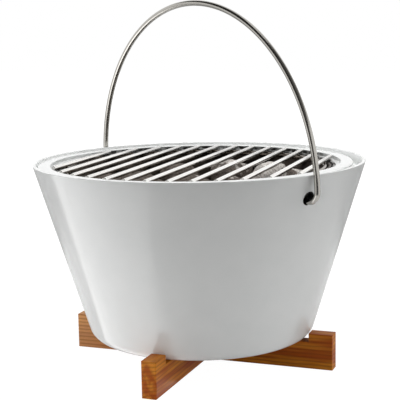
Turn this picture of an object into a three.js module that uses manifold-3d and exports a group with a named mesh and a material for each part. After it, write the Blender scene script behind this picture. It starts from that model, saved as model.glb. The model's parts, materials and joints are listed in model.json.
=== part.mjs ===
// Tabletop charcoal grill: a tapered porcelain bowl on a halved wooden cross, with a second porcelain
// bowl, a charcoal tray and a grill rack inside it, and a bent rod handle. Millimetres, +Z up.
// The origin is at the centre of the cross, on the table. One bar of the cross lies along X.

import * as THREE from 'three';
import Module from 'manifold-3d';
import { ConvexGeometry } from 'three/addons/geometries/ConvexGeometry.js';
import { mergeVertices, toCreasedNormals } from 'three/addons/utils/BufferGeometryUtils.js';

// Clearances and cuts
const REST_GAP = 0.3;
const CUT_OVERRUN = 5;
const WELD_DISTANCE = 0.0001;
const CREASE = THREE.MathUtils.degToRad(30);

// Wooden cross
const BAR_END_LENGTH = 21.8;
const BAR_WIDTH = 13.5;
const BAR_END_HEIGHT = 32.4;
const BAR_SEAT_HEIGHT = 24.6;
const BAR_STEP_CLEARANCE = 0.9;
const BAR_EDGE_BREAK = 0.6;
const BAR_EDGE_STEPS = 2;
const HALVING_CLEARANCE = 0.3;

// Outer bowl
const RIM_RADIUS = 150;
const BOWL_HEIGHT = 160.9;
const BOWL_TAPER = THREE.MathUtils.degToRad(17.1);
const BOWL_WALL = 5;
const BOWL_FLOOR = 6;
const BOWL_CORNER_RADIUS = 12.5;
const RIM_THICKNESS = 3;
const RIM_ROUND = 1.4;
const FOOT_RADIUS = 72;
const FOOT_RECESS = 2.5;
const LEDGE_LIP = 3;
const LEDGE_CLEARANCE = 0.7;
const BOWL_SEGMENTS = 60;

// Insert bowl, which stands a little to one side in the outer bowl
const FLANGE_DROP = 0.8;
const FLANGE_GAP = 4.5;
const FLANGE_WIDTH = 11.1;
const FLANGE_THICKNESS = 7.7;
const FLANGE_ROUND = 1.2;
const RACK_LEDGE_WIDTH = 6.8;
const INSERT_SHIFT = 3.4;
const INSERT_SHIFT_AZIMUTH = THREE.MathUtils.degToRad(200.96);
const INSERT_DEPTH = 72;
const INSERT_WALL = 5.8;
const INSERT_FLOOR = 5;
const INSERT_CORNER_RADIUS = 7;
const TRAY_LEDGE_WIDTH = 8;
const TRAY_LEDGE_HEIGHT = 15;
const WELL_DRAFT = 1.5;
const WELL_CORNER_RADIUS = 4;
const INSERT_SEGMENTS = 56;

// Charcoal tray of pressed sheet
const TRAY_SHEET = 1.2;
const TRAY_SIDE_GAP = 1.2;
const TRAY_RIM_DROP = 0.3;
const TRAY_HEM_RADIUS = 1.3;
const TRAY_CORNER_RADIUS = 5;
const TRAY_SEGMENTS = 48;
const SLOT_WIDTH = 5;
const SLOT_END_STEPS = 3;
const WALL_SLOT_COUNT = 20;
const WALL_SLOT_MARGIN = 14;
const FLOOR_SLOT_RING_SHARES = [
  { count: 8, inner: 0.18, outer: 0.41 },
  { count: 16, inner: 0.51, outer: 0.9 },
];

// Grill rack
const ROD_DIAMETER = 4;
const ROD_COUNT = 13;
const RACK_EDGE_WIDTH = 19;
const ROD_END_CHAMFER = 0.4;
const ROD_SIDES = 12;
const RACK_SIDE_GAP = 0.8;
const RACK_TURN = THREE.MathUtils.degToRad(2.72);
const RING_SIDE_GAP = 1.3;
const RING_SIDES = 8;
const RING_SEGMENTS = 48;

// Handle: a round rod bent to half an ellipse, with its ends turned into the bowl's two holes
const HANDLE_DIAMETER = 5;
const HANDLE_RIM_CLEARANCE = 2.1;
const HANDLE_RISE = 162.7;
const HANDLE_BEND_RADIUS = 9.5;
const HANDLE_STUB_PAST_WALL = 5;
const HANDLE_AZIMUTH = THREE.MathUtils.degToRad(-31.27);
const HANDLE_LEAN = THREE.MathUtils.degToRad(1.75);
const HANDLE_SIDES = 12;
const HANDLE_BEND_STEPS = 6;
const HANDLE_ARCH_STEPS = 22;
const HOLE_DIAMETER = 11;
const HOLE_DROP = 19.8;
const HOLE_SIDES = 24;

// Loose charcoal lumps in one layer, each inside its own sector of a ring. The rings are shares of the
// tray's inner radius.
const LUMP_GAP = 1.6;
const LUMP_HEADROOM = 2;
const LUMP_HEIGHT_SPREAD = 9;
const LUMP_SHOULDER = 6;
const LUMP_RING_SHARES = [
  { count: 1, inner: 0, outer: 0.21 },
  { count: 6, inner: 0.225, outer: 0.585 },
  { count: 12, inner: 0.605, outer: 1 },
];
const LUMP_SIDES = 8;
const LUMP_LEVEL_SHARES = [
  { heightShare: 0, widthShare: 0.74 },
  { heightShare: 0.36, widthShare: 1 },
  { heightShare: 0.78, widthShare: 0.94 },
  { heightShare: 1, widthShare: 0.62 },
];
const LUMP_TRIM_SHARE = 0.24;
const LUMP_CORNER_SHARE = 0.5;
const LUMP_SEED_STRIDE = 97;
const LUMP_TURN_SEED = 300;
const LUMP_SHOULDER_SEED = 600;

// Each piece's colour, roughness and metalness
const PORCELAIN = { color: '#eef0ef', roughness: 0.12, metalness: 0 };
const OILED_WOOD = { color: '#b5713a', roughness: 0.55, metalness: 0 };
const POLISHED_STEEL = { color: '#d9d7d2', roughness: 0.22, metalness: 1 };
const SATIN_STEEL = { color: '#a39b93', roughness: 0.35, metalness: 1 };
const HEATED_STEEL = { color: '#4a4643', roughness: 0.5, metalness: 0.8 };
const CHARCOAL = { color: '#2b2928', roughness: 0.9, metalness: 0 };

const wasm = await Module();
wasm.setup();

// An indexed closed mesh with only its positions, its shared corners merged
function closedMesh(geometry) {
  const bare = geometry.clone();
  bare.deleteAttribute('normal');
  bare.deleteAttribute('uv');
  const merged = mergeVertices(bare, WELD_DISTANCE);
  const index = merged.index.array;
  const kept = [];
  for (let i = 0; i < index.length; i += 3) {
    const [a, b, c] = [index[i], index[i + 1], index[i + 2]];
    if (a !== b && b !== c && c !== a) {
      kept.push(a, b, c);
    }
  }
  merged.setIndex(kept);
  return merged;
}

function toSolid(geometry) {
  const mesh = closedMesh(geometry);
  return new wasm.Manifold(new wasm.Mesh({
    numProp: 3,
    vertProperties: mesh.attributes.position.array,
    triVerts: new Uint32Array(mesh.index.array),
  }));
}

function toGeometry(solid) {
  const { vertProperties, triVerts } = solid.getMesh();
  const geometry = new THREE.BufferGeometry();
  geometry.setAttribute('position', new THREE.BufferAttribute(vertProperties, 3));
  geometry.setIndex(new THREE.BufferAttribute(triVerts, 1));
  return geometry;
}

function cutAway(geometry, cutters) {
  let solid = toSolid(geometry);
  for (const cutter of cutters) {
    solid = solid.subtract(toSolid(cutter));
  }
  return toGeometry(solid);
}

function piece(name, geometry, finish) {
  const mesh = new THREE.Mesh(toCreasedNormals(closedMesh(geometry), CREASE), new THREE.MeshStandardMaterial(finish));
  mesh.name = name;
  return mesh;
}

function polar(radius, angle) {
  return new THREE.Vector2(radius * Math.cos(angle), radius * Math.sin(angle));
}

// Points on an arc of a profile, from one angle to another, in degrees
function arc(x, y, radius, from, to, steps) {
  const points = [];
  for (let i = 0; i <= steps; i += 1) {
    const angle = THREE.MathUtils.degToRad(from + ((to - from) * i) / steps);
    points.push(polar(radius, angle).add(new THREE.Vector2(x, y)));
  }
  return points;
}

// A profile of (radius, height) points turned about the upright axis
function turned(profile, segments) {
  const geometry = new THREE.LatheGeometry(profile, segments);
  geometry.rotateX(Math.PI / 2);
  return geometry;
}

// Heights and radii that the pieces share
const taperSlope = Math.tan(BOWL_TAPER);
const taperSecant = 1 / Math.cos(BOWL_TAPER);
const taperDegrees = THREE.MathUtils.radToDeg(BOWL_TAPER);
const rodRadius = ROD_DIAMETER / 2;
const bowlBase = BAR_SEAT_HEIGHT + REST_GAP;
const ledgeHeight = BOWL_HEIGHT - FLANGE_DROP - FLANGE_THICKNESS - REST_GAP;
const flangeTop = BOWL_HEIGHT - FLANGE_DROP;
const flangeRadius = RIM_RADIUS - RIM_THICKNESS - FLANGE_GAP;
const recessRadius = flangeRadius - FLANGE_WIDTH;
const recessDepth = ROD_DIAMETER + REST_GAP;
const mouthRadius = recessRadius - RACK_LEDGE_WIDTH;
const insertBodyRadius = mouthRadius + INSERT_WALL;
const trayLedgeZ = TRAY_LEDGE_HEIGHT - INSERT_DEPTH;
const trayBase = trayLedgeZ + REST_GAP;
const trayHeight = -recessDepth - TRAY_RIM_DROP - trayBase;
const hemInnerRadius = mouthRadius - TRAY_SIDE_GAP - 2 * TRAY_HEM_RADIUS;
const rackReach = recessRadius - RACK_SIDE_GAP;
const rodPitch = (2 * (rackReach - RACK_EDGE_WIDTH)) / (ROD_COUNT - 1);
const handleHalfSpan = RIM_RADIUS + HANDLE_RIM_CLEARANCE + HANDLE_DIAMETER / 2;

// The outer bowl's side: its radius at a height above the bowl's base
function bowlSide(height) {
  const edge = RIM_RADIUS - RIM_ROUND + RIM_ROUND * taperSecant;
  return edge + taperSlope * (height - BOWL_HEIGHT + RIM_ROUND);
}

// One bar of the cross. Its seat is lower than its ends by a step that holds the bowl's foot, and it is
// cut away by half at the centre, from above or from below, for the bar that crosses it.
function barGeometry(notchedFromAbove) {
  const halfSeat = bowlSide(BAR_END_HEIGHT - bowlBase) + BAR_STEP_CLEARANCE;
  const halfLength = halfSeat + BAR_END_LENGTH;
  const halfNotch = BAR_WIDTH / 2 + HALVING_CLEARANCE;
  const middle = BAR_SEAT_HEIGHT / 2;
  const outline = new THREE.Shape();
  outline.moveTo(-halfLength, 0);
  if (!notchedFromAbove) {
    outline.lineTo(-halfNotch, 0);
    outline.lineTo(-halfNotch, middle + HALVING_CLEARANCE / 2);
    outline.lineTo(halfNotch, middle + HALVING_CLEARANCE / 2);
    outline.lineTo(halfNotch, 0);
  }
  outline.lineTo(halfLength, 0);
  outline.lineTo(halfLength, BAR_END_HEIGHT);
  outline.lineTo(halfSeat, BAR_END_HEIGHT);
  outline.lineTo(halfSeat, BAR_SEAT_HEIGHT);
  if (notchedFromAbove) {
    outline.lineTo(halfNotch, BAR_SEAT_HEIGHT);
    outline.lineTo(halfNotch, middle - HALVING_CLEARANCE / 2);
    outline.lineTo(-halfNotch, middle - HALVING_CLEARANCE / 2);
    outline.lineTo(-halfNotch, BAR_SEAT_HEIGHT);
  }
  outline.lineTo(-halfSeat, BAR_SEAT_HEIGHT);
  outline.lineTo(-halfSeat, BAR_END_HEIGHT);
  outline.lineTo(-halfLength, BAR_END_HEIGHT);
  outline.closePath();
  const geometry = new THREE.ExtrudeGeometry(outline, {
    depth: BAR_WIDTH - 2 * BAR_EDGE_BREAK,
    bevelThickness: BAR_EDGE_BREAK,
    bevelSize: BAR_EDGE_BREAK,
    bevelOffset: -BAR_EDGE_BREAK,
    bevelSegments: BAR_EDGE_STEPS,
  });
  geometry.translate(0, 0, BAR_EDGE_BREAK - BAR_WIDTH / 2);
  geometry.rotateX(Math.PI / 2);
  return geometry;
}

// The outer bowl: a straight cone on a rounded corner and a ring foot, with a ledge inside its rim and
// two round holes for the handle
function outerBowlGeometry() {
  const outerCorner = bowlSide(BOWL_CORNER_RADIUS) - BOWL_CORNER_RADIUS * taperSecant;
  const innerCornerRadius = BOWL_CORNER_RADIUS - BOWL_WALL;
  const innerSide = (height) => bowlSide(height) - BOWL_WALL * taperSecant;
  const innerCornerHeight = BOWL_FLOOR + innerCornerRadius;
  const innerCorner = innerSide(innerCornerHeight) - innerCornerRadius * taperSecant;
  const rimInside = (height) => bowlSide(height) - RIM_THICKNESS * taperSecant;
  const roundHeight = BOWL_HEIGHT - RIM_ROUND;
  const ledgeRadius = insertBodyRadius + INSERT_SHIFT + LEDGE_CLEARANCE;
  const lipBottom = ledgeHeight - LEDGE_LIP;
  const run = (innerSide(lipBottom) - ledgeRadius) / (1 + taperSlope);
  const profile = [
    new THREE.Vector2(0, FOOT_RECESS),
    new THREE.Vector2(FOOT_RADIUS - FOOT_RECESS, FOOT_RECESS),
    new THREE.Vector2(FOOT_RADIUS, 0),
    ...arc(outerCorner, BOWL_CORNER_RADIUS, BOWL_CORNER_RADIUS, -90, -taperDegrees, 6),
    ...arc(RIM_RADIUS - RIM_ROUND, roundHeight, RIM_ROUND, -taperDegrees, 90, 3),
    ...arc(rimInside(roundHeight) + RIM_ROUND * taperSecant, roundHeight, RIM_ROUND, 90, 180 - taperDegrees, 3),
    new THREE.Vector2(rimInside(ledgeHeight), ledgeHeight),
    new THREE.Vector2(ledgeRadius, ledgeHeight),
    new THREE.Vector2(ledgeRadius, lipBottom),
    new THREE.Vector2(ledgeRadius + run, lipBottom - run),
    ...arc(innerCorner, innerCornerHeight, innerCornerRadius, -taperDegrees, -90, 4),
    new THREE.Vector2(0, BOWL_FLOOR),
  ];
  const bowl = turned(profile, BOWL_SEGMENTS);
  const drill = new THREE.CylinderGeometry(
    HOLE_DIAMETER / 2, HOLE_DIAMETER / 2, 2 * (RIM_RADIUS + CUT_OVERRUN), HOLE_SIDES);
  drill.rotateZ(Math.PI / 2);
  drill.rotateZ(HANDLE_AZIMUTH);
  drill.translate(0, 0, BOWL_HEIGHT - HOLE_DROP);
  return cutAway(bowl, [drill]);
}

// The insert bowl, drawn down from its flange's top: flange, recess for the rack, tapered wall, a ledge
// for the tray and an air well below it
function insertGeometry() {
  const wellRadius = mouthRadius + taperSlope * (trayLedgeZ + recessDepth) - TRAY_LEDGE_WIDTH;
  const footRadius = wellRadius - WELL_DRAFT + INSERT_WALL;
  const bottom = -INSERT_DEPTH - INSERT_FLOOR;
  const sideRise = -FLANGE_THICKNESS - bottom;
  const sideDegrees = THREE.MathUtils.radToDeg(Math.atan2(insertBodyRadius - footRadius, sideRise));
  const cornerX = footRadius - INSERT_CORNER_RADIUS;
  const ledgeX = mouthRadius + taperSlope * (trayLedgeZ + recessDepth);
  const profile = [
    new THREE.Vector2(0, bottom),
    ...arc(cornerX, bottom + INSERT_CORNER_RADIUS, INSERT_CORNER_RADIUS, -90, -sideDegrees, 4),
    new THREE.Vector2(insertBodyRadius, -FLANGE_THICKNESS),
    new THREE.Vector2(flangeRadius - taperSlope * FLANGE_THICKNESS, -FLANGE_THICKNESS),
    ...arc(flangeRadius - FLANGE_ROUND, -FLANGE_ROUND, FLANGE_ROUND, -taperDegrees, 90, 3),
    ...arc(recessRadius + FLANGE_ROUND / 2, -FLANGE_ROUND / 2, FLANGE_ROUND / 2, 90, 180, 2),
    new THREE.Vector2(recessRadius, -recessDepth),
    ...arc(mouthRadius + FLANGE_ROUND / 2, -recessDepth - FLANGE_ROUND / 2, FLANGE_ROUND / 2, 90, 180, 2),
    new THREE.Vector2(ledgeX, trayLedgeZ),
    new THREE.Vector2(wellRadius, trayLedgeZ),
    ...arc(wellRadius - WELL_DRAFT - WELL_CORNER_RADIUS, WELL_CORNER_RADIUS - INSERT_DEPTH, WELL_CORNER_RADIUS,
      0, -90, 3),
    new THREE.Vector2(0, -INSERT_DEPTH),
  ];
  return turned(profile, INSERT_SEGMENTS);
}

// A slot cutter standing on its end: a long hole's outline along Y, carried through Z
function slotCutter(length, through) {
  const half = length / 2 - SLOT_WIDTH / 2;
  const outline = new THREE.Shape([
    ...arc(0, half, SLOT_WIDTH / 2, 0, 180, SLOT_END_STEPS),
    ...arc(0, -half, SLOT_WIDTH / 2, 180, 360, SLOT_END_STEPS),
  ]);
  const geometry = new THREE.ExtrudeGeometry(outline, { depth: through, bevelEnabled: false });
  geometry.translate(0, 0, -through / 2);
  return geometry;
}

// The tray's inner face: its radius at a height above the tray's underside
function trayInside(height) {
  return hemInnerRadius + taperSlope * (height - trayHeight);
}

// The charcoal tray: a pressed dish with a rolled hem and slots in its wall and floor for the air
function trayGeometry() {
  const outside = (height) => trayInside(height) + TRAY_SHEET * taperSecant;
  const cornerX = outside(TRAY_CORNER_RADIUS) - TRAY_CORNER_RADIUS * taperSecant;
  const hemX = hemInnerRadius + TRAY_HEM_RADIUS;
  const hemZ = trayHeight - TRAY_HEM_RADIUS;
  const profile = [
    new THREE.Vector2(0, 0),
    ...arc(cornerX, TRAY_CORNER_RADIUS, TRAY_CORNER_RADIUS, -90, -taperDegrees, 3),
    new THREE.Vector2(outside(trayHeight - 2 * TRAY_HEM_RADIUS), trayHeight - 2 * TRAY_HEM_RADIUS),
    ...arc(hemX, hemZ, TRAY_HEM_RADIUS, -90, 180, 6),
    ...arc(cornerX, TRAY_CORNER_RADIUS, TRAY_CORNER_RADIUS - TRAY_SHEET, -taperDegrees, -90, 3),
    new THREE.Vector2(0, TRAY_SHEET),
  ];
  const cutters = [];
  for (let i = 0; i < WALL_SLOT_COUNT; i += 1) {
    const cutter = slotCutter(trayHeight - 2 * WALL_SLOT_MARGIN, 2 * CUT_OVERRUN + 2 * TRAY_SHEET);
    cutter.rotateX(Math.PI / 2);
    cutter.rotateZ(Math.PI / 2);
    cutter.translate(trayInside(trayHeight / 2), 0, trayHeight / 2);
    cutter.rotateZ(((i + 0.5) * 2 * Math.PI) / WALL_SLOT_COUNT);
    cutters.push(cutter);
  }
  for (const ring of FLOOR_SLOT_RING_SHARES) {
    for (let i = 0; i < ring.count; i += 1) {
      const cutter = slotCutter((ring.outer - ring.inner) * cornerX, 2 * CUT_OVERRUN);
      cutter.translate(0, ((ring.inner + ring.outer) / 2) * cornerX, 0);
      cutter.rotateZ(((i + 0.5) * 2 * Math.PI) / ring.count);
      cutters.push(cutter);
    }
  }
  return cutAway(turned(profile, TRAY_SEGMENTS), cutters);
}

// One straight rack rod along Y, its ends chamfered, as long as the round recess lets it be at its offset
function rackRodGeometry(offset) {
  const half = Math.sqrt(rackReach ** 2 - (Math.abs(offset) + rodRadius) ** 2);
  const profile = [
    new THREE.Vector2(0, -half),
    new THREE.Vector2(rodRadius - ROD_END_CHAMFER, -half),
    new THREE.Vector2(rodRadius, ROD_END_CHAMFER - half),
    new THREE.Vector2(rodRadius, half - ROD_END_CHAMFER),
    new THREE.Vector2(rodRadius - ROD_END_CHAMFER, half),
    new THREE.Vector2(0, half),
  ];
  return new THREE.LatheGeometry(profile, ROD_SIDES);
}

// The handle's centre line in its own upright plane: a short stub from inside the wall, a quarter bend,
// half an ellipse, and the same again. Its stations follow the parameter, so the bends get enough steps.
class HandlePath extends THREE.Curve {
  constructor(stubEnd) {
    super();
    this.stubEnd = stubEnd;
  }

  getUtoTmapping(u) {
    return u;
  }

  getPoint(t, target = new THREE.Vector3()) {
    const side = t < 0.5 ? -1 : 1;
    const last = 1 + HANDLE_BEND_STEPS + HANDLE_ARCH_STEPS;
    const station = last * (1 - Math.abs(2 * t - 1));
    const bendStart = handleHalfSpan - HANDLE_BEND_RADIUS;
    if (station <= 1) {
      return target.set(side * THREE.MathUtils.lerp(this.stubEnd, bendStart, station), 0, 0);
    }
    if (station <= 1 + HANDLE_BEND_STEPS) {
      const turn = ((station - 1) / HANDLE_BEND_STEPS) * (Math.PI / 2);
      const across = bendStart + HANDLE_BEND_RADIUS * Math.sin(turn);
      return target.set(side * across, 0, HANDLE_BEND_RADIUS * (1 - Math.cos(turn)));
    }
    const turn = ((station - 1 - HANDLE_BEND_STEPS) / HANDLE_ARCH_STEPS) * (Math.PI / 2);
    const rise = HANDLE_RISE - HANDLE_BEND_RADIUS;
    return target.set(side * handleHalfSpan * Math.cos(turn), 0, HANDLE_BEND_RADIUS + rise * Math.sin(turn));
  }
}

function handleGeometry(pivotHeight) {
  const section = new THREE.Shape();
  section.absarc(0, 0, HANDLE_DIAMETER / 2, 0, 2 * Math.PI, false);
  const stubEnd = bowlSide(pivotHeight) - BOWL_WALL * taperSecant - HANDLE_STUB_PAST_WALL;
  return new THREE.ExtrudeGeometry(section, {
    curveSegments: HANDLE_SIDES / 2,
    steps: 2 * (1 + HANDLE_BEND_STEPS + HANDLE_ARCH_STEPS),
    extrudePath: new HandlePath(stubEnd),
  });
}

// One charcoal lump: the convex hull of rings of points kept inside its sector of the tray, with the
// points drawn in by a different share each, so that its faces break at odd angles
function lumpGeometry(ring, serial, height) {
  const share = (k) => THREE.MathUtils.seededRandom(serial * LUMP_SEED_STRIDE + k);
  const halfAngle = ring.count > 1 ? Math.PI / ring.count : 0;
  const points = [];
  LUMP_LEVEL_SHARES.forEach(({ heightShare, widthShare }, level) => {
    const room = trayInside(TRAY_SHEET + height * heightShare) - LUMP_GAP;
    const middle = halfAngle ? ((ring.inner + ring.outer) / 2) * room : 0;
    const halfDepth = ring.outer * room - middle;
    for (let i = 0; i < LUMP_SIDES; i += 1) {
      const k = level * LUMP_SIDES + i;
      const angle = ((i + LUMP_CORNER_SHARE * share(k + LUMP_TURN_SEED)) * 2 * Math.PI) / LUMP_SIDES;
      const square = 1 / Math.max(Math.abs(Math.cos(angle)), Math.abs(Math.sin(angle)));
      const fill = widthShare * THREE.MathUtils.lerp(1, square, LUMP_CORNER_SHARE);
      const reach = Math.min(fill, square) * (1 - LUMP_TRIM_SHARE * share(k));
      const out = middle + halfDepth * reach * Math.cos(angle);
      const across = halfAngle
        ? reach * Math.sin(angle) * (out * Math.tan(halfAngle) - LUMP_GAP / 2)
        : halfDepth * reach * Math.sin(angle);
      const drop = heightShare === 1 ? LUMP_SHOULDER * share(k + LUMP_SHOULDER_SEED) : 0;
      points.push(new THREE.Vector3(out, across, height * heightShare - drop));
    }
  });
  return new ConvexGeometry(points);
}

const group = new THREE.Group();

group.add(piece('stand_bar_lower', barGeometry(true), OILED_WOOD));
const upperBar = piece('stand_bar_upper', barGeometry(false), OILED_WOOD);
upperBar.rotation.z = Math.PI / 2;
group.add(upperBar);

const bowlGroup = new THREE.Group();
bowlGroup.position.z = bowlBase;
bowlGroup.add(piece('outer_bowl', outerBowlGeometry(), PORCELAIN));
group.add(bowlGroup);

const insertGroup = new THREE.Group();
const shift = polar(INSERT_SHIFT, INSERT_SHIFT_AZIMUTH);
insertGroup.position.set(shift.x, shift.y, flangeTop);
insertGroup.add(piece('insert_bowl', insertGeometry(), PORCELAIN));
bowlGroup.add(insertGroup);

const trayGroup = new THREE.Group();
trayGroup.position.z = trayBase;
trayGroup.add(piece('charcoal_tray', trayGeometry(), HEATED_STEEL));
insertGroup.add(trayGroup);

// The rack: rods side by side on one ring, which hangs just inside the tray's hem
const rackGroup = new THREE.Group();
const rodAxisZ = rodRadius + REST_GAP - recessDepth;
const ringAxisZ = rodAxisZ - ROD_DIAMETER - REST_GAP;
rackGroup.rotation.z = RACK_TURN;
for (let i = 0; i < ROD_COUNT; i += 1) {
  const offset = (i - (ROD_COUNT - 1) / 2) * rodPitch;
  const rod = piece(`rack_rod_${String(i + 1).padStart(2, '0')}`, rackRodGeometry(offset), POLISHED_STEEL);
  rod.position.set(offset, 0, rodAxisZ);
  rackGroup.add(rod);
}
const ringRadius = hemInnerRadius - RING_SIDE_GAP - rodRadius;
const ringGeometry = new THREE.TorusGeometry(ringRadius, rodRadius, RING_SIDES, RING_SEGMENTS);
const rackRing = piece('rack_ring', ringGeometry, POLISHED_STEEL);
rackRing.position.z = ringAxisZ;
rackGroup.add(rackRing);
insertGroup.add(rackGroup);

// The handle's stubs rest on the lowest line of the bowl's holes
const pivotHeight = BOWL_HEIGHT - HOLE_DROP - HOLE_DIAMETER / 2 + HANDLE_DIAMETER / 2 + REST_GAP;
const handleTurn = new THREE.Group();
handleTurn.position.z = pivotHeight;
handleTurn.rotation.z = HANDLE_AZIMUTH;
const handle = piece('handle', handleGeometry(pivotHeight), SATIN_STEEL);
handle.rotation.x = HANDLE_LEAN;
handleTurn.add(handle);
bowlGroup.add(handleTurn);

// The charcoal stands on the tray's floor and stays below the rack's ring
const lumpCeiling = ringAxisZ - rodRadius - LUMP_HEADROOM - trayBase - TRAY_SHEET - REST_GAP;
let serial = 0;
for (const ring of LUMP_RING_SHARES) {
  for (let i = 0; i < ring.count; i += 1) {
    serial += 1;
    const height = lumpCeiling - LUMP_HEIGHT_SPREAD * THREE.MathUtils.seededRandom(serial);
    const name = `charcoal_lump_${String(serial).padStart(2, '0')}`;
    const lump = piece(name, lumpGeometry(ring, serial, height), CHARCOAL);
    lump.position.z = TRAY_SHEET + REST_GAP;
    lump.rotation.z = (i * 2 * Math.PI) / ring.count;
    trayGroup.add(lump);
  }
}

export default group;
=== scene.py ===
"""The looks of a tabletop charcoal grill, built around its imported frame: a white porcelain bowl on a
wooden cross, with an insert bowl, a charcoal tray, a rod rack and a bent rod handle.
Sizes are in millimetres, but those of the floor and the lamps are in metres, as the meshes are."""

import json
import math

import bmesh
import bpy
import numpy as np
from mathutils import Matrix, Vector


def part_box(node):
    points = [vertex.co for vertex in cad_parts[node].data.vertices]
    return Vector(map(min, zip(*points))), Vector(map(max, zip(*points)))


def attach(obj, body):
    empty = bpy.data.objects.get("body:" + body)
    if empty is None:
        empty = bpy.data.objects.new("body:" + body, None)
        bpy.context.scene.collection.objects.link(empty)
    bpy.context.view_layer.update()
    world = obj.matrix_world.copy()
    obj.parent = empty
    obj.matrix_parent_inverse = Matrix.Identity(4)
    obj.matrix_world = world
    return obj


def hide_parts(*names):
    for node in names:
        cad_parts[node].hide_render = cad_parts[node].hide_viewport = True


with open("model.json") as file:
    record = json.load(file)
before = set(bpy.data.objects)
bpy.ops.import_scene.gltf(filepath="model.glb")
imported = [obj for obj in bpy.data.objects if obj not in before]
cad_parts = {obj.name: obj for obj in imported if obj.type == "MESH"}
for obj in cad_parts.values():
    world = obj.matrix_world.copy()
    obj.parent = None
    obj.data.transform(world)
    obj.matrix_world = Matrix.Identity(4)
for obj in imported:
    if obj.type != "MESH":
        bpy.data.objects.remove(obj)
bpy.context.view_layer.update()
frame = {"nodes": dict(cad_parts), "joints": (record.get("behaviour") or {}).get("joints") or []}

MM = 0.001
FULL_TURN = 2 * math.pi


# The wooden cross: two bars of oiled hardwood, planed on all faces with their edges just broken, and
# halved into each other at the centre without glue or screws. The raised ends keep the bowl's foot in.

GRAIN_SPACING = 3.6
GRAIN_LENGTH_SHARE = 0.25
WAVE_PERIOD = FULL_TURN / 20
LATE_WOOD = (0.35, 1.0)
LATE_WOOD_SHARE = 0.38
FIBRE_WIDTH = 0.9
FIBRE_LENGTH_SHARE = 0.035
FIBRE_RELIEF = (0.35, 0.12)
PORES = (0.52, 0.75)
PORE_SHARE = 0.4
BOARD_TONE_SIZE = 9
BOARD_TONE_LENGTH_SHARE = 0.09
BOARD_TONES = (0.35, 0.65)
PITH_OFFSET = (0, 8, 74)
PAINTED_LIGHT_END = (-120, -45)
WOOD_LIGHT = "#dd8d2a"
WOOD_MID = "#ae5312"
WOOD_DARK = "#7a330d"
WOOD_PAINTED_LIGHT = "#e3b07c"
WOOD_ROUGHNESS = (0.4, 0.56)
WOOD_IOR = 1.24


def linear(hex_colour):
    """A hex sRGB colour as linear red, green, blue and alpha."""
    shares = np.array([int(hex_colour[i:i + 2], 16) for i in (1, 3, 5)]) / 255
    light = np.where(shares <= 0.04045, shares / 12.92, ((shares + 0.055) / 1.055) ** 2.4)
    return (*light.tolist(), 1.0)


def metres(*lengths):
    """Lengths in millimetres as a tuple in metres."""
    return tuple(length * MM for length in lengths)


def feed(tree, node, inputs):
    """Gives each of a node's sockets its value, or links it to the output that stands for one."""
    for socket, value in inputs.items():
        if isinstance(value, bpy.types.NodeSocket):
            tree.links.new(value, node.inputs[socket])
        else:
            node.inputs[socket].default_value = value


def put(tree, kind, inputs=None, **settings):
    """Adds a shader node. settings are its own properties, and inputs goes to feed."""
    made = tree.nodes.new("ShaderNode" + kind)
    for name, value in settings.items():
        setattr(made, name, value)
    feed(tree, made, inputs or {})
    return made


def maths(tree, operation, *values):
    """One operation on one to three numbers."""
    return put(tree, "Math", dict(enumerate(values)), operation=operation).outputs[0]


def vector_maths(tree, operation, *values):
    """One operation on one or two vectors. Lengths and dot products are numbers."""
    made = put(tree, "VectorMath", dict(enumerate(values)), operation=operation)
    return made.outputs["Value" if operation in ("LENGTH", "DOT_PRODUCT") else "Vector"]


def ramp(tree, value, span=(0.0, 1.0), to=(0.0, 1.0), kind="LINEAR"):
    """Carries a value's span over to another pair of values and holds it there outside the span.
    SMOOTHSTEP eases both ends."""
    return put(tree, "MapRange", {
        "Value": value, "From Min": span[0], "From Max": span[1], "To Min": to[0], "To Max": to[1],
    }, interpolation_type=kind).outputs[0]


def mixed(tree, share, first, second):
    """The first colour with a share of the second in it. Each is a hex colour or an output."""
    first, second = (linear(tone) if isinstance(tone, str) else tone for tone in (first, second))
    return put(tree, "Mix", {"Factor": share, "A": first, "B": second}, data_type="RGBA").outputs["Result"]


def noise(tree, place, size, detail, **sockets):
    """Cloudy noise between 0 and 1, whose clouds are about size millimetres across."""
    return put(tree, "TexNoise", {
        "Vector": place, "Scale": 1 / (size * MM), "Detail": detail, **sockets}).outputs["Fac"]


def bumped(tree, height, relief):
    """Normals tilted by a relief, which is its strength and its depth in millimetres."""
    strength, depth = relief
    return put(tree, "Bump", {"Height": height, "Strength": strength, "Distance": depth * MM}).outputs[0]


def new_material(name):
    """An empty material, its node tree, its Principled shader and its Object coordinates."""
    material = bpy.data.materials.new(name)
    material.use_nodes = True
    tree = material.node_tree
    shader = tree.nodes["Principled BSDF"]
    return material, tree, shader, put(tree, "TexCoord").outputs["Object"]


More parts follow.
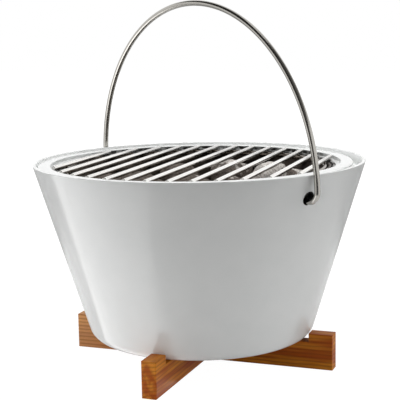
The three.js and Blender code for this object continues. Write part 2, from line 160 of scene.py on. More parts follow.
def oiled_hardwood(name, turn, shift, painted_light_share):
    """Oiled hardwood along one bar: rings round a pith that lies far above the bar give level lines on
    its sides and ends, and long thin noise gives the fibres. The oil leaves it satin, darker along the
    late wood. One end can be painted paler, which is painted light for the stronger light on that end."""
    material, tree, shader, place = new_material(name)
    along = put(tree, "Mapping", {"Vector": place, "Rotation": (0, 0, turn)}).outputs[0]

    def drawn_out(share, start=(0, 0, 0)):
        """The bar's coordinates with its length scaled down, which draws a pattern out along it."""
        return put(tree, "Mapping", {"Vector": along, "Location": start, "Scale": (share, 1, 1)}).outputs[0]

    pith = metres(*(offset + shift for offset in PITH_OFFSET))
    rings = put(tree, "TexWave", {
        "Vector": drawn_out(GRAIN_LENGTH_SHARE, pith), "Scale": WAVE_PERIOD / (GRAIN_SPACING * MM),
        "Distortion": 2.6, "Detail": 2.0, "Detail Scale": 0.7, "Detail Roughness": 0.5,
    }, wave_type="RINGS", rings_direction="X").outputs["Fac"]
    clouds = noise(tree, drawn_out(BOARD_TONE_LENGTH_SHARE), BOARD_TONE_SIZE, 3.0)
    fibres = noise(tree, drawn_out(FIBRE_LENGTH_SHARE), FIBRE_WIDTH, 4.0, Roughness=0.65)
    length = put(tree, "SeparateXYZ", {0: along}).outputs["X"]
    heart = mixed(tree, ramp(tree, clouds, BOARD_TONES, kind="SMOOTHSTEP"), WOOD_MID, WOOD_LIGHT)
    # Painted light: towards one end of the bar the wood is painted paler, for the stronger light there.
    painted_light = ramp(tree, length, metres(*PAINTED_LIGHT_END), (painted_light_share, 0.0), "SMOOTHSTEP")
    body = mixed(tree, painted_light, heart, WOOD_PAINTED_LIGHT)
    late = maths(tree, "MULTIPLY", ramp(tree, rings, LATE_WOOD, kind="SMOOTHSTEP"), LATE_WOOD_SHARE)
    lined = mixed(tree, late, body, WOOD_DARK)
    feed(tree, shader, {
        "Base Color": mixed(tree, ramp(tree, fibres, PORES, (0.0, PORE_SHARE)), lined, WOOD_DARK),
        "Roughness": ramp(tree, fibres, to=WOOD_ROUGHNESS),
        "Normal": bumped(tree, fibres, FIBRE_RELIEF),
        "IOR": WOOD_IOR})
    return material


def dress(piece, material):
    """Gives a piece one material in place of those it has."""
    piece.data.materials.clear()
    piece.data.materials.append(material)


dress(frame["nodes"]["stand_bar_lower"], oiled_hardwood("oiled_hardwood_x", 0, 0, 0.6))
dress(frame["nodes"]["stand_bar_upper"], oiled_hardwood("oiled_hardwood_y", -math.pi / 2, 7, 0.0))


# The outer bowl: slip-cast porcelain with a clear glossy glaze, a straight cone on a rounded corner
# and a ring foot. It has a ledge inside its rim for the insert bowl and two holes for the handle.

bowl_low, bowl_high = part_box("outer_bowl")
BOWL_BASE = bowl_low.z / MM
BOWL_HEIGHT = (bowl_high.z - bowl_low.z) / MM
RIM_RADIUS = bowl_high.y / MM
TAPER = math.radians(17.1)
SLOPE = math.tan(TAPER)
SECANT = 1 / math.cos(TAPER)
BOWL_WALL = 5
BOWL_FLOOR = 6
BOWL_CORNER = 12.5
RIM_THICKNESS = 3
RIM_ROUND = 0.5
SIDE_AT_RIM = 0.496
FOOT_RADIUS = 72
FOOT_RECESS = 2.5
FOOT_ROUND = 1
LEDGE_DROP = 8.8
LEDGE_HEIGHT = BOWL_HEIGHT - LEDGE_DROP
LEDGE_RADIUS = 134.5
LEDGE_LIP = 3
HOLE_RADIUS = 5.5
HOLE_DROP = 19.8
HOLE_HEIGHT = BOWL_HEIGHT - HOLE_DROP
HOLE_ROUND = 1
HOLE_BLOCK = 8
HOLE_CELLS = 14
HANDLE_AZIMUTH = math.radians(-31.27)
BOWL_COLUMNS = 180
GLAZE_RIPPLE = 22
GLAZE_RELIEF = (0.25, 0.15)
GLAZE_WHITE = "#f1f2f1"
GLAZE_SHADE = "#eaeceb"
GLAZE_ROUGHNESS = 0.16
GLAZE_IOR = 1.5
HOLE_PAINTED_SHADE = "#1d1a18"
HOLE_PAINTED_SHADE_EDGE = (0.1, 0.5)
HOLE_PAINTED_SHADE_ROUGHNESS = 0.9
WELD = 0.002


def arc(x, z, radius, start, end, steps):
    """Points of a circular arc in the profile's plane: centre plus radius times (cos, sin) of angles
    that go from start to end in degrees."""
    angles = np.radians(np.linspace(start, end, steps + 1))
    return np.stack([x + radius * np.cos(angles), z + radius * np.sin(angles)], axis=-1)


def turned(profile, angles):
    """Carries a profile of (radius, height) points round the upright axis: every point goes to its
    radius times (cos, sin) of every angle, at its own height."""
    radius, height = profile[:, 0, None], profile[:, 1, None]
    return np.stack([radius * np.cos(angles), radius * np.sin(angles), height + 0 * angles], axis=-1)


def cells(rows, columns):
    """Corner numbers of the four-cornered cells of a grid whose last column joins its first, as an
    array of rows - 1 by columns by 4."""
    number = np.arange(rows * columns).reshape(rows, columns)
    number = np.column_stack([number, number[:, 0]])
    return np.stack([number[:-1, :-1], number[:-1, 1:], number[1:, 1:], number[1:, :-1]], axis=-1)


def make(name, grids, material, crease=35):
    """Makes one smooth closed mesh of several grids of points, each with its cells. Points that lie on
    each other at seams, poles and borders are merged, and the faces are turned outwards."""
    points, faces, first = [], [], 0
    for grid, corners in grids:
        points.append(grid.reshape(-1, 3))
        faces.append(corners.reshape(-1, 4) + first)
        first += len(points[-1])
    mesh = bpy.data.meshes.new(name)
    mesh.from_pydata((np.concatenate(points) * MM).tolist(), [], np.concatenate(faces).tolist())
    welded = bmesh.new()
    welded.from_mesh(mesh)
    bmesh.ops.remove_doubles(welded, verts=welded.verts, dist=WELD * MM)
    bmesh.ops.recalc_face_normals(welded, faces=welded.faces)
    welded.to_mesh(mesh)
    welded.free()
    mesh.shade_smooth()
    mesh.set_sharp_from_angle(angle=math.radians(crease))
    piece = bpy.data.objects.new(name, mesh)
    bpy.context.scene.collection.objects.link(piece)
    dress(piece, material)
    return piece


def settle(piece, body, slot, *nodes):
    """Puts a piece on its body in place of the nodes that it stands for. Its slot is not used."""
    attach(piece, body)
    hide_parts(*nodes)


def hole_skin(border, back_border, radius, rounding, front, back):
    """The skin of one round hole, as rings of points: from the border of the block that the grid leaves
    out, across the front face to the hole's edge, over the rounded edge, through the wall, and out over
    the back face. Each point of the hole's circle lies opposite a point of the border."""
    away = border / np.linalg.norm(border, axis=1, keepdims=True)
    wide = away * (radius + rounding)
    rings = [front(border + (wide - border) * share) for share in np.linspace(0, 1, 5)[:-1]]
    turns = np.linspace(0, math.pi / 2, 4)
    for near, far, order in ((front, back, turns), (back, front, turns[::-1])):
        for turn in order:
            plane = away * (radius + rounding * (1 - math.sin(turn)))
            through = far(plane) - near(plane)
            through /= np.linalg.norm(through, axis=1, keepdims=True)
            rings.append(near(plane) + through * rounding * (1 - math.cos(turn)))
    rings += [back(wide + (back_border - wide) * share) for share in np.linspace(0, 1, 5)[1:]]
    return np.array(rings)


def block_border(rows, columns):
    """Goes round the border of a block of grid lines: (row, column) numbers, each corner once."""
    top, right = len(rows) - 1, len(columns) - 1
    walk = [(0, j) for j in range(right)] + [(i, right) for i in range(top)]
    walk += [(top, right - j) for j in range(right)] + [(top - i, 0) for i in range(top)]
    return np.array([(rows[i], columns[j]) for i, j in walk])


def bowl_side(height):
    """The outer face's radius at a height above the bowl's base: a straight line of the taper."""
    return RIM_RADIUS + SIDE_AT_RIM - SLOPE * (BOWL_HEIGHT - height)


def bowl_inside(height):
    """The inner face's radius: the wall's thickness inside the outer face, or the ledge's slanted
    underside where that is nearer the axis."""
    lip = LEDGE_RADIUS + (LEDGE_HEIGHT - LEDGE_LIP - height)
    return np.minimum(bowl_side(height) - BOWL_WALL * SECANT, lip)


def glazed_porcelain(name):
    """Clear glaze over white porcelain: a smooth mirror-like coat, with the slow ripple of a fired
    glaze and hardly any change of colour."""
    material, tree, shader, place = new_material(name)
    ripple = noise(tree, place, GLAZE_RIPPLE, 1.5)
    tint = mixed(tree, ripple, GLAZE_WHITE, GLAZE_SHADE)
    feed(tree, shader, {
        "Base Color": tint, "Roughness": GLAZE_ROUGHNESS, "IOR": GLAZE_IOR,
        "Normal": bumped(tree, ripple, GLAZE_RELIEF)})
    return material, tree, shader, place, tint


def soot_and_shade_over(tree, shader, glaze, share, colour, roughness):
    """Lays a dark film of painted shade, with soot where the fire leaves it, on the glaze: by its share,
    its colour and its dull surface take the glaze's place.
    """
    feed(tree, shader, {
        "Base Color": mixed(tree, share, glaze, colour),
        "Roughness": ramp(tree, share, to=(GLAZE_ROUGHNESS, roughness))})


porcelain, tree, shader, place, glaze = glazed_porcelain("white_glazed_porcelain")
# Painted shade: the bores of the handle's holes are painted near black and dull, for the shade inside them.
hole_line = (math.cos(HANDLE_AZIMUTH), math.sin(HANDLE_AZIMUTH), 0)
from_holes = vector_maths(tree, "SUBTRACT", place, metres(0, 0, BOWL_BASE + HOLE_HEIGHT))
from_line = vector_maths(tree, "LENGTH", vector_maths(tree, "CROSS_PRODUCT", from_holes, hole_line))
in_hole = ramp(tree, from_line, metres(*(HOLE_RADIUS + edge for edge in HOLE_PAINTED_SHADE_EDGE)), (1.0, 0.0))
soot_and_shade_over(tree, shader, glaze, in_hole, HOLE_PAINTED_SHADE, HOLE_PAINTED_SHADE_ROUGHNESS)
block_angle = math.asin(HOLE_BLOCK / RIM_RADIUS)
fine = np.linspace(-block_angle, block_angle, HOLE_CELLS + 1)
half_turn = np.linspace(block_angle, math.pi - block_angle, BOWL_COLUMNS // 2 + 1)
bowl_angles = HANDLE_AZIMUTH + np.concatenate([
    fine[:-1], half_turn[:-1], fine[:-1] + math.pi, half_turn[:-1] + math.pi])
block_heights = HOLE_HEIGHT + np.linspace(-HOLE_BLOCK, HOLE_BLOCK, HOLE_CELLS + 1)
taper_degrees = math.degrees(TAPER)
outer_corner = bowl_side(BOWL_CORNER) - BOWL_CORNER * SECANT
inner_round = BOWL_CORNER - BOWL_WALL
inner_corner_height = BOWL_FLOOR + inner_round
inner_corner = bowl_inside(inner_corner_height) - inner_round * SECANT
round_height = BOWL_HEIGHT - RIM_ROUND
rim_inside = bowl_side(round_height) - RIM_THICKNESS * SECANT
foot_and_corner = np.concatenate([
    [[0, FOOT_RECESS], [FOOT_RADIUS - FOOT_RECESS, FOOT_RECESS]],
    arc(FOOT_RADIUS + FOOT_ROUND, FOOT_ROUND, FOOT_ROUND, 200, 270, 4),
    arc(outer_corner, BOWL_CORNER, BOWL_CORNER, -90, -taper_degrees, 16),
])
outer_block = np.stack([bowl_side(block_heights), block_heights], axis=-1)
rim_and_ledge = np.concatenate([
    arc(bowl_side(round_height) - RIM_ROUND * SECANT, round_height, RIM_ROUND, -taper_degrees, 90, 8),
    arc(rim_inside + RIM_ROUND * SECANT, round_height, RIM_ROUND, 90, 180 - taper_degrees, 8),
    [[bowl_side(LEDGE_HEIGHT) - RIM_THICKNESS * SECANT, LEDGE_HEIGHT], [LEDGE_RADIUS, LEDGE_HEIGHT]],
])
inner_block = np.stack([bowl_inside(block_heights), block_heights], axis=-1)[::-1]
inner_corner_and_floor = np.concatenate([
    arc(inner_corner, inner_corner_height, inner_round, -taper_degrees, -90, 10),
    [[0, BOWL_FLOOR]],
])
profile = np.concatenate([foot_and_corner, outer_block, rim_and_ledge, inner_block, inner_corner_and_floor])
profile[:, 1] += BOWL_BASE
bowl_grid = turned(profile, bowl_angles)
kept = np.ones((len(profile) - 1, len(bowl_angles)), bool)
outer_row = len(foot_and_corner)
inner_row = outer_row + len(outer_block) + len(rim_and_ledge)
opposite = HOLE_CELLS + BOWL_COLUMNS // 2
for row in (outer_row, inner_row):
    for column in (0, opposite):
        kept[row:row + HOLE_CELLS, column:column + HOLE_CELLS] = False
bowl_skins = [(bowl_grid, cells(*bowl_grid.shape[:2])[kept])]
hole_z = BOWL_BASE + HOLE_HEIGHT
for side in (0, 1):
    azimuth = HANDLE_AZIMUTH + side * math.pi
    outward = np.array([math.cos(azimuth), math.sin(azimuth), 0])
    sideways = np.array([-math.sin(azimuth), math.cos(azimuth), 0])

    def on_wall(plane, radius_at):
        """The point of a face of revolution that lies over a point (sideways, upwards) of the hole's
        plane: it goes out by the root of the radius squared less the sideways offset squared."""
        reach = np.sqrt(radius_at(HOLE_HEIGHT + plane[:, 1]) ** 2 - plane[:, 0] ** 2)
        lifted = np.outer(reach, outward) + np.outer(plane[:, 0], sideways)
        return lifted + np.outer(hole_z + plane[:, 1], (0, 0, 1))

    borders = []
    for radius_at in (bowl_side, bowl_inside):
        walk = block_border(np.arange(HOLE_CELLS + 1), np.arange(HOLE_CELLS + 1))
        height = block_heights[walk[:, 0]]
        across = radius_at(height) * np.sin(fine[walk[:, 1]])
        borders.append(np.stack([across, height - HOLE_HEIGHT], axis=-1))
    rings = hole_skin(
        borders[0], borders[1], HOLE_RADIUS, HOLE_ROUND,
        lambda plane: on_wall(plane, bowl_side), lambda plane: on_wall(plane, bowl_inside))
    bowl_skins.append((rings, cells(*rings.shape[:2])))
outer_bowl = make("glazed_outer_bowl", bowl_skins, porcelain)
settle(outer_bowl, "bowl", "white_porcelain", "outer_bowl")


# The insert bowl: the same glazed porcelain, thrown shallower, with a flat flange that lies on the
# outer bowl's ledge, a recess in it for the rack, a ledge for the tray and an air well in its floor.

insert_low, insert_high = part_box("insert_bowl")
INSERT_X = (insert_low.x + insert_high.x) / 2 / MM
INSERT_Y = (insert_low.y + insert_high.y) / 2 / MM
FLANGE_SET = 0.8
FLANGE_TOP = insert_high.z / MM - FLANGE_SET
FLANGE_RADIUS = (insert_high.y - insert_low.y) / 2 / MM
INSERT_BOTTOM = insert_low.z / MM
FLANGE_THICKNESS = 6.9
FLANGE_ROUND = 1.2
FLANGE_WIDTH = 11.1
RECESS_DEPTH = 3.5
RACK_LEDGE = 6.8
INSERT_WALL = 5.8
INSERT_FLOOR = 5
INSERT_CORNER = 7
TRAY_LEDGE = 8
TRAY_LEDGE_DEPTH = 56.2
TRAY_LEDGE_Z = FLANGE_TOP - TRAY_LEDGE_DEPTH
WELL_ROUND = 4
WELL_DRAFT = 1.5
INSERT_COLUMNS = 176
SOOT_AND_SHADE_BLACK = "#26221f"
SOOT_AND_SHADE_ROUGHNESS = 0.7
SOOT_AND_SHADE_CLOUD_SIZE = 5
SOOT_AND_SHADE_CLOUDS = (0.36, 0.56)
SOOT_AND_SHADE_SHARES = (0.55, 1.0)
SOOT_AND_SHADE_DEPTH = 3.9
PAINTED_SHADE_STARTS = (math.radians(16), math.radians(60))
PAINTED_SHADE_ENDS = (math.radians(150), math.radians(168))
SOOT_AND_SHADE_ABOVE_FOOT = (1, 3)
SOOT_AND_SHADE_UNDER_TOP = (-0.9, -0.3)
SOOT_AND_SHADE_AROUND_RECESS = (0.3, 0.8)

recess_radius = FLANGE_RADIUS - FLANGE_WIDTH
mouth_radius = recess_radius - RACK_LEDGE
ledge_z = FLANGE_TOP - RECESS_DEPTH
tray_ledge_radius = mouth_radius + SLOPE * (TRAY_LEDGE_Z - ledge_z)
well_radius = tray_ledge_radius - TRAY_LEDGE
well_floor = INSERT_BOTTOM + INSERT_FLOOR
body_radius = mouth_radius + INSERT_WALL
foot_radius = well_radius + INSERT_WALL - WELL_DRAFT
flange_under = FLANGE_TOP - FLANGE_THICKNESS
side_degrees = math.degrees(math.atan2(body_radius - foot_radius, flange_under - INSERT_BOTTOM))
edge = FLANGE_ROUND / 2
insert_profile = np.concatenate([
    [[0, INSERT_BOTTOM]],
    arc(foot_radius - INSERT_CORNER, INSERT_BOTTOM + INSERT_CORNER, INSERT_CORNER, -90, -side_degrees, 10),
    [[body_radius, flange_under], [FLANGE_RADIUS - SLOPE * FLANGE_THICKNESS, flange_under]],
    arc(FLANGE_RADIUS - FLANGE_ROUND, FLANGE_TOP - FLANGE_ROUND, FLANGE_ROUND, -taper_degrees, 90, 7),
    arc(recess_radius + edge, FLANGE_TOP - edge, edge, 90, 180, 5),
    arc(recess_radius - edge, ledge_z + edge, edge, 0, -90, 5),
    arc(mouth_radius + edge, ledge_z - edge, edge, 90, 180, 5),
    arc(tray_ledge_radius - edge, TRAY_LEDGE_Z + edge, edge, 0, -90, 5),
    arc(well_radius + edge, TRAY_LEDGE_Z - edge, edge, 90, 180, 5),
    arc(well_radius - WELL_DRAFT - WELL_ROUND, well_floor + WELL_ROUND, WELL_ROUND, 0, -90, 8),
    [[0, well_floor]],
])

# Soot and painted shade darken the insert in soft clouds: painted shade along the back of the recess, and
# soot with painted shade over everything inside the middle of the bowl's wall. Its flange, its outside and
# its foot are clean.

sooted_and_shaded_porcelain, tree, shader, place, glaze = glazed_porcelain("sooted_and_shaded_glazed_porcelain")
spot = vector_maths(tree, "SUBTRACT", place, metres(INSERT_X, INSERT_Y, 0))
across, away, height = put(tree, "SeparateXYZ", {0: spot}).outputs
bearing = maths(tree, "ARCTAN2", away, across)
distance = vector_maths(tree, "LENGTH", vector_maths(tree, "MULTIPLY", spot, (1, 1, 0)))
# Painted shade: between two bearings, round the back of the recess, the glaze is painted dark.
starts = ramp(tree, bearing, PAINTED_SHADE_STARTS, kind="SMOOTHSTEP")
ends = ramp(tree, bearing, PAINTED_SHADE_ENDS, (1.0, 0.0), "SMOOTHSTEP")
back = maths(tree, "MULTIPLY", starts, ends)
side_slope = (body_radius - foot_radius) / (flange_under - INSERT_BOTTOM)
mid_wall_at_zero = body_radius - SOOT_AND_SHADE_DEPTH - side_slope * flange_under
mid_wall = maths(tree, "MULTIPLY_ADD", height, side_slope, mid_wall_at_zero * MM)
within = ramp(tree, maths(tree, "SUBTRACT", distance, mid_wall), metres(-1, 0), (1.0, 0.0))
off_foot = ramp(tree, height, metres(*(INSERT_BOTTOM + rise for rise in SOOT_AND_SHADE_ABOVE_FOOT)))
soot_and_shade = maths(tree, "MAXIMUM", back, maths(tree, "MULTIPLY", within, off_foot))
sunk = ramp(tree, height, metres(*(FLANGE_TOP + rise for rise in SOOT_AND_SHADE_UNDER_TOP)), (1.0, 0.0))
inside = ramp(tree, distance, metres(*(recess_radius + edge for edge in SOOT_AND_SHADE_AROUND_RECESS)), (1.0, 0.0))
reached = maths(tree, "MULTIPLY", sunk, inside)
thickness = ramp(tree, noise(tree, place, SOOT_AND_SHADE_CLOUD_SIZE, 3.0), SOOT_AND_SHADE_CLOUDS, SOOT_AND_SHADE_SHARES)
soot_and_shade_film = maths(tree, "MULTIPLY", maths(tree, "MULTIPLY", soot_and_shade, reached), thickness)
soot_and_shade_over(tree, shader, glaze, soot_and_shade_film, SOOT_AND_SHADE_BLACK, SOOT_AND_SHADE_ROUGHNESS)

insert_angles = np.linspace(0, FULL_TURN, INSERT_COLUMNS + 1)[:-1]
insert_grid = turned(insert_profile, insert_angles) + np.array([INSERT_X, INSERT_Y, 0])
insert_bowl = make("glazed_insert_bowl", [(insert_grid, cells(*insert_grid.shape[:2]))], sooted_and_shaded_porcelain)
settle(insert_bowl, "insert", "white_porcelain", "insert_bowl")


# The charcoal tray: a dish pressed from stainless sheet, its hem rolled outwards, with air slots in its
# wall and floor. Fire has turned it dark brown and blue-grey, with soot that takes its shine away.

TRAY_STAIN_SIZE = 28
TRAY_STAINS = (0.38, 0.62)
TRAY_GRIT = 1.6
TRAY_RELIEF = (0.3, 0.1)
TRAY_STEEL = "#5a524b"
TRAY_BURNT = "#2b2624"
TRAY_METALLIC = 0.85
TRAY_ROUGHNESS = (0.42, 0.75)

heated_steel, tree, shader, place = new_material("heat_stained_stainless")
burnt = ramp(tree, noise(tree, place, TRAY_STAIN_SIZE, 5.0), TRAY_STAINS, kind="SMOOTHSTEP")
feed(tree, shader, {
    "Base Color": mixed(tree, burnt, TRAY_STEEL, TRAY_BURNT),
    "Metallic": TRAY_METALLIC,
    "Roughness": ramp(tree, burnt, to=TRAY_ROUGHNESS),
    "Normal": bumped(tree, noise(tree, place, TRAY_GRIT, 3.0), TRAY_RELIEF)})
dress(frame["nodes"]["charcoal_tray"], heated_steel)


# The fuel: loose lumps of carbonised wood in one layer. They break at flat, odd angles, keep the wood's
# fibres as fine ridges, and are matt black, with pale ash where the fire has been.

LUMP_COLUMNS = 56
LUMP_ROWS = 30
LUMP_CORNER_POWER = 26
LUMP_RIDGE = 0.55
LUMP_RIDGE_SPACING = 3.4
LUMP_DENT = 1.3
LUMP_DENT_SIZE = 17
LUMP_DENT_LENGTH = 5
COAL_GRAIN = 1.4
COAL_FIBRES = (0.35, 0.7)
COAL_RELIEF = (0.7, 0.5)
COAL_BLACK = "#37322f"
COAL_BROWN = "#94887e"
COAL_ROUGHNESS = 0.82
ASH_SIZE = 9
ASH_FIBRES = (0.42, 0.62)
ASH_GREY = "#f6f1ec"
ASH_DARK = "#a9a099"
ASH_UPWARD = 0.35
ASH_START = 1.05
ASH_SPREAD = 0.6
ASH_EDGE = 0.14
PLAIN_ASH = 0.1
ASHY_LUMPS = {10: 0.85, 11: 0.6, 9: 0.5, 3: 0.3, 8: 0.25, 2: 0.25}
LUMP_RISE = {9: 1.1, 10: 1.14, 11: 1.14}


def lump_coal(name, ash_share):
    """Lump charcoal: matt black with brown-grey fibres, and ash on the faces that look up, over as
    much of them as the share says."""
    material, tree, shader, place = new_material(name)
    fibre = noise(tree, place, COAL_GRAIN, 4.0, Roughness=0.7)
    upward = put(tree, "SeparateXYZ", {0: put(tree, "NewGeometry").outputs["Normal"]}).outputs["Z"]
    raised = maths(tree, "MULTIPLY_ADD", upward, ASH_UPWARD, noise(tree, place, ASH_SIZE, 4.0))
    start = ASH_START - ASH_SPREAD * ash_share
    ash = ramp(tree, raised, (start, start + ASH_EDGE), kind="SMOOTHSTEP")
    coal = mixed(tree, ramp(tree, fibre, COAL_FIBRES), COAL_BLACK, COAL_BROWN)
    ashes = mixed(tree, ramp(tree, fibre, ASH_FIBRES), ASH_GREY, ASH_DARK)
    feed(tree, shader, {
        "Base Color": mixed(tree, ash, coal, ashes),
        "Roughness": COAL_ROUGHNESS,
        "Normal": bumped(tree, fibre, COAL_RELIEF)})
    return material


def all_ways(rows, columns):
    """Unit vectors in all directions, from pole to pole and round: (sin p cos a, sin p sin a, cos p)."""
    polar = np.linspace(0, math.pi, rows)[:, None]
    around = np.linspace(0, FULL_TURN, columns + 1)[:-1]
    level = np.sin(polar)
    return np.stack([level * np.cos(around), level * np.sin(around), np.cos(polar) + 0 * around], axis=-1)


def lump_grid(node, serial):
    """A broken lump inside its node's flat-faced solid. In each direction it reaches as far as the
    solid's faces let it: the reach is one over the root of the summed powers of each face's share, so
    that its edges come out just rounded. Folded waves along the wood's grain make the ridges, and
    slower waves the dents, both cut inwards."""
    node.data.calc_loop_triangles()
    corners = np.array([vertex.co for vertex in node.data.vertices]) / MM
    triangles = corners[np.array([triangle.vertices for triangle in node.data.loop_triangles])]
    centre = (corners.min(0) + corners.max(0)) / 2
    normals = np.cross(triangles[:, 1] - triangles[:, 0], triangles[:, 2] - triangles[:, 0])
    normals /= np.linalg.norm(normals, axis=1, keepdims=True)
    shares = normals / np.einsum("ij,ij->i", normals, triangles[:, 0] - centre)[:, None]
    shares = np.unique(shares.round(4), axis=0)
    rays = all_ways(LUMP_ROWS, LUMP_COLUMNS)
    powers = np.clip(rays @ shares.T, 0, None) ** LUMP_CORNER_POWER
    reach = powers.sum(axis=-1) ** (-1 / LUMP_CORNER_POWER)
    draw = np.random.default_rng(serial)
    grain, cross, slow = (draw.normal(size=3) for _ in range(3))
    cross -= grain * (cross @ grain) / (grain @ grain)
    cross /= np.linalg.norm(cross)
    slow /= np.linalg.norm(slow)
    surface = rays * reach[..., None]
    bend = np.sin(surface @ slow * FULL_TURN / LUMP_DENT_SIZE)
    ridge = np.abs(np.sin((surface @ cross + bend) * math.pi / LUMP_RIDGE_SPACING))
    dent = (0.5 + 0.5 * bend) * np.abs(np.sin(surface @ cross / LUMP_DENT_LENGTH))
    depth = LUMP_RIDGE * (1 - ridge) + LUMP_DENT * dent
    return centre + rays * (reach - depth)[..., None]


lump_nodes = sorted(name for name in frame["nodes"] if name.startswith("charcoal_lump"))
plain_coal = lump_coal("lump_charcoal", PLAIN_ASH)
for serial, node in enumerate(lump_nodes, 1):
    grid = lump_grid(frame["nodes"][node], serial)
    lump_foot = grid[..., 2].min()
    grid[..., 2] = lump_foot + (grid[..., 2] - lump_foot) * LUMP_RISE.get(serial, 1)
    coal = plain_coal
    if serial in ASHY_LUMPS:
        coal = lump_coal(f"lump_charcoal_ashy_{serial:02d}", ASHY_LUMPS[serial])
    lump = make(
        node.replace("charcoal_lump", "broken_lump"), [(grid, cells(*grid.shape[:2]))], coal, crease=50)
    settle(lump, "tray", "charcoal", node)


# The grill rack: thirteen straight rods of polished stainless wire, cut square with their edges rubbed
# off, welded side by side to one ring that hangs just inside the tray's hem. Smoke and painted shade
# darken the ring and the rods' undersides.

ROD_SIDES = 28
ROD_CHAMFER = 0.4
CHAMFER_MIDDLE = 0.3
RACK_TURN = math.radians(2.72)
RING_SIDES = 24
RING_STATIONS = 160
WELD_BEAD = (1.5, 1.5, 0.75)
BEAD_ROWS = 9
BEAD_COLUMNS = 16
DRAW_LINE = 0.5
DRAW_LENGTH_SHARE = 0.02
ROD_HAZE = 24
ROD_STEEL = "#fefdfb"
ROD_STEEL_WORN = "#f6f3ee"
ROD_SMOKE_AND_SHADE = "#8a827a"
ROD_SMOKE_AND_SHADE_RISE = (0.5, 1.5)
ROD_ROUGHNESS = (0.14, 0.32)

polished_steel, tree, shader, place = new_material("polished_stainless_wire")
combed = put(tree, "Mapping", {
    "Vector": place, "Rotation": (0, 0, -RACK_TURN), "Scale": (1, DRAW_LENGTH_SHARE, 1)}).outputs[0]
bare = mixed(tree, noise(tree, place, ROD_HAZE, 3.0), ROD_STEEL, ROD_STEEL_WORN)
rods_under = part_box("rack_rod_07")[0].z / MM
height = put(tree, "SeparateXYZ", {0: place}).outputs["Z"]
# Smoke and painted shade: the wire is painted darker below a line just above the rods' undersides.
smoke_and_shade_line = metres(*(rods_under + rise for rise in ROD_SMOKE_AND_SHADE_RISE))
smoke_and_shade = ramp(tree, height, smoke_and_shade_line, (1.0, 0.0), "SMOOTHSTEP")
feed(tree, shader, {
    "Base Color": mixed(tree, smoke_and_shade, bare, ROD_SMOKE_AND_SHADE),
    "Metallic": 1.0,
    "Roughness": ramp(tree, noise(tree, combed, DRAW_LINE, 2.0), to=ROD_ROUGHNESS)})


def tube(path, radii, across, sides):
    """Carries a circle along a flat path and closes both ends: every ring is the path's point plus its
    radius times (cos, sin) of the ring's angles, along the path's own normal and the direction square
    to its plane."""
    tangent = np.gradient(path, axis=0)
    tangent /= np.linalg.norm(tangent, axis=1, keepdims=True)
    normal = np.cross(tangent, across)
    angles = np.linspace(0, FULL_TURN, sides + 1)[:-1, None]
    circle = np.cos(angles) * normal[:, None] + np.sin(angles) * np.asarray(across)
    rings = path[:, None] + np.asarray(radii)[:, None, None] * circle
    ends = [np.repeat(path[i][None, None], sides, axis=1) for i in (0, -1)]
    return np.concatenate([ends[0], rings, ends[1]])


rod_direction = np.array([-math.sin(RACK_TURN), math.cos(RACK_TURN), 0])
rod_side = np.array([math.cos(RACK_TURN), math.sin(RACK_TURN), 0])
rod_nodes = sorted(name for name in frame["nodes"] if name.startswith("rack_rod"))
ring_low, ring_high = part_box("rack_ring")
ring_z = (ring_low.z + ring_high.z) / 2 / MM
ring_radius = (ring_high.y - ring_low.y - (ring_high.z - ring_low.z)) / 2 / MM
bead_places = []
for node in rod_nodes:
    low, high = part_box(node)
    centre = np.array((low + high) / 2) / MM
    radius = (high.z - low.z) / 2 / MM
    half = ((high.y - low.y) / MM / 2 - radius * math.sin(RACK_TURN)) / math.cos(RACK_TURN)
    trim = ROD_CHAMFER * np.array([0, 0.5, 1])
    stations = np.concatenate([trim - half, half - trim[::-1]])
    shrink = ROD_CHAMFER * np.array([1, CHAMFER_MIDDLE, 0, 0, CHAMFER_MIDDLE, 1])
    grid = tube(centre + np.outer(stations, rod_direction), radius - shrink, (0, 0, 1), ROD_SIDES)
    rod = make(node + "_wire", [(grid, cells(*grid.shape[:2]))], polished_steel)
    settle(rod, "rack", "rack_steel", node)
    offset = (centre[0] - INSERT_X) * rod_side[0] + (centre[1] - INSERT_Y) * rod_side[1]
    run = math.sqrt(ring_radius ** 2 - offset ** 2)
    for way in (-1, 1):
        foot = centre + rod_direction * run * way
        bead_places.append([foot[0], foot[1], (low.z / MM + ring_high.z / MM) / 2])

around = np.linspace(0, FULL_TURN, RING_STATIONS + 1)[:-1]
section = np.linspace(0, FULL_TURN, RING_SIDES + 1)[:, None]
wire = (ring_high.z - ring_low.z) / 2 / MM
reach = ring_radius + wire * np.cos(section)
ring_grid = np.stack([
    INSERT_X + reach * np.cos(around), INSERT_Y + reach * np.sin(around),
    ring_z + wire * np.sin(section) + 0 * around], axis=-1)
ring = make("rack_ring_wire", [(ring_grid, cells(*ring_grid.shape[:2]))], polished_steel)
settle(ring, "rack", "rack_steel", "rack_ring")

bead = all_ways(BEAD_ROWS, BEAD_COLUMNS) * np.array(WELD_BEAD)
beads = make("rack_weld_beads", [
    (np.array(spot) + bead, cells(*bead.shape[:2])) for spot in bead_places], polished_steel)
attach(beads, "rack")


# The handle: one rod of satin stainless steel, bent cold to half an ellipse and turned inwards at both
# ends. The two stubs are sprung into the bowl's holes, and it swings on them.

HANDLE_DIAMETER = 5
HANDLE_HALF_SPAN = 154.6
HANDLE_RISE = 162.7
HANDLE_BEND = 9.5
HANDLE_STUB = 5
HANDLE_LEAN = math.radians(1.75)
HANDLE_SIDES = 28
HANDLE_CHAMFER = 0.6
SATIN_GRAIN = 0.9
SATIN_HAZE = 30
HANDLE_STEEL = "#bfbcb6"
HANDLE_STEEL_DEEP = "#adaaa4"
HANDLE_ROUGHNESS = (0.17, 0.19)

